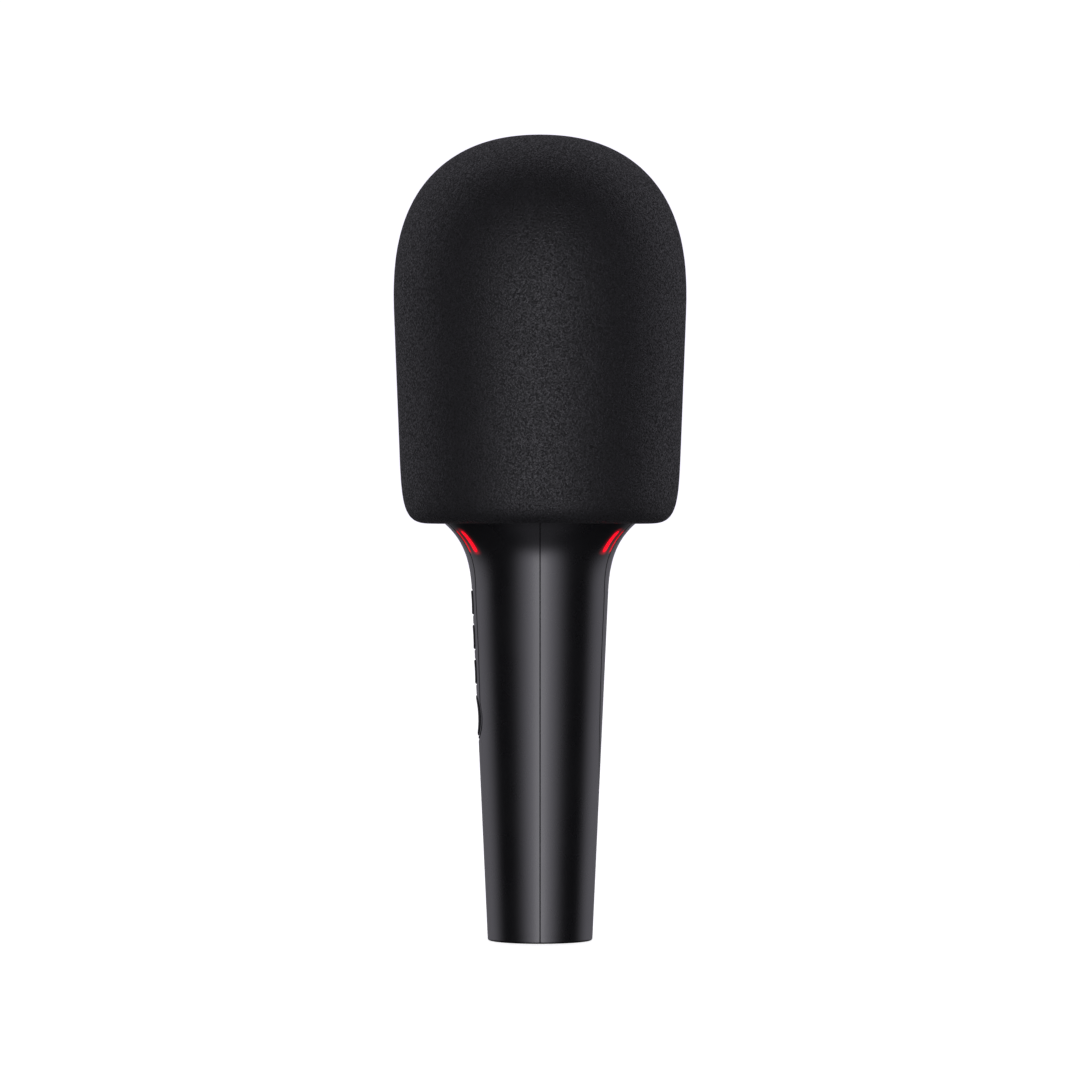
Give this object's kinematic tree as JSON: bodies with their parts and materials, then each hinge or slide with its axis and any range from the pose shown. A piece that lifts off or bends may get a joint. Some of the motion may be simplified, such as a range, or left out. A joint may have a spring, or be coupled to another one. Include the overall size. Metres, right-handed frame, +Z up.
{
  "type": "karaoke microphone",
  "caption": "Handheld karaoke microphone: a tapered two-part handle with a row of front keys and red light bars flares into a head with a loudspeaker and grille under a domed foam windscreen.",
  "frame": {"origin": "centre of the round foot, on the plane the microphone stands on", "axes": "+Z up the handle's axis, from the foot to the top of the windscreen; -Y is the front, with the keys; +X is to the right seen from the back"},
  "size_m": [0.0872, 0.0872, 0.24],
  "materials": {
    "foam": "open-cell foam, dark grey",
    "shell": "moulded black ABS, semi-gloss",
    "trim": "moulded black ABS, gloss",
    "key": "black keycap plastic",
    "light": "red light guide",
    "lamp": "white lamp package",
    "steel": "nickel-plated steel",
    "dark_steel": "black-painted steel",
    "ring": "aluminium, painted black",
    "grille": "woven wire grille",
    "aluminium": "turned aluminium",
    "board": "green circuit board",
    "chip": "black epoxy",
    "cell": "steel can in blue shrink wrap",
    "cradle": "black nylon",
    "paper": "pressed paper, black",
    "rubber": "black rubber",
    "liner": "thin grey liner foam",
    "cloth": "acoustic cloth"
  },
  "bodies": {
    "handle": {"handle_front": "shell", "handle_back": "shell", "trim_front": "trim", "trim_back": "trim", "bottom_cap": "shell", "case_screw": "steel", "light_board": "board", "light_guide_front_left": "light", "light_guide_front_right": "light", "light_guide_back_left": "light", "light_guide_back_right": "light", "lamp_front_left": "lamp", "lamp_front_right": "lamp", "lamp_back_left": "lamp", "lamp_back_right": "lamp", "usb_socket": "steel", "usb_tongue": "chip", "usb_board": "board", "battery_cell": "cell", "battery_cradle": "cradle", "battery_tab_bottom": "steel", "battery_tab_top": "steel", "main_board": "board", "board_screw_1": "steel", "board_screw_2": "steel", "board_screw_3": "steel", "board_screw_4": "steel", "switch_top": "chip", "switch_middle": "chip", "switch_bottom": "chip", "switch_power": "chip", "wireless_module": "chip", "amplifier_chip": "chip", "speaker_frame": "dark_steel", "speaker_yoke": "steel", "speaker_magnet": "steel", "speaker_pole": "steel", "speaker_surround": "rubber", "grille_collar": "ring", "grille_side": "grille", "grille_band": "ring", "grille_dome": "grille", "grille_liner": "liner", "capsule_bridge": "cradle", "capsule_holder": "rubber", "capsule": "aluminium", "capsule_face": "cloth"},
    "windscreen": {"windscreen": "foam"},
    "key_top": {"key_top": "key"},
    "key_middle": {"key_middle": "key"},
    "key_bottom": {"key_bottom": "key"},
    "power_button": {"power_button": "key"},
    "cone": {"speaker_cone": "paper", "speaker_dust_cap": "paper"}
  },
  "joints": [
    {"name": "windscreen_slide", "type": "slide", "parent": "handle", "child": "windscreen", "axis": [0, 0, 1], "range_m": [0, 0.11]},
    {"name": "key_top_press", "type": "slide", "parent": "handle", "child": "key_top", "axis": [0, 1, 0], "range_m": [0, 0.00025], "stiffness_N_per_m": 2000, "springref_m": -0.0003},
    {"name": "key_middle_press", "type": "slide", "parent": "handle", "child": "key_middle", "axis": [0, 1, 0], "range_m": [0, 0.00025], "stiffness_N_per_m": 2000, "springref_m": -0.0003},
    {"name": "key_bottom_press", "type": "slide", "parent": "handle", "child": "key_bottom", "axis": [0, 1, 0], "range_m": [0, 0.00025], "stiffness_N_per_m": 2000, "springref_m": -0.0003},
    {"name": "power_button_press", "type": "slide", "parent": "handle", "child": "power_button", "axis": [0, 1, 0], "range_m": [0, 0.00025], "stiffness_N_per_m": 2000, "springref_m": -0.0003},
    {"name": "cone_travel", "type": "slide", "parent": "handle", "child": "cone", "axis": [0, 0, 1], "range_m": [-0.001, 0.001], "stiffness_N_per_m": 1000}
  ]
}
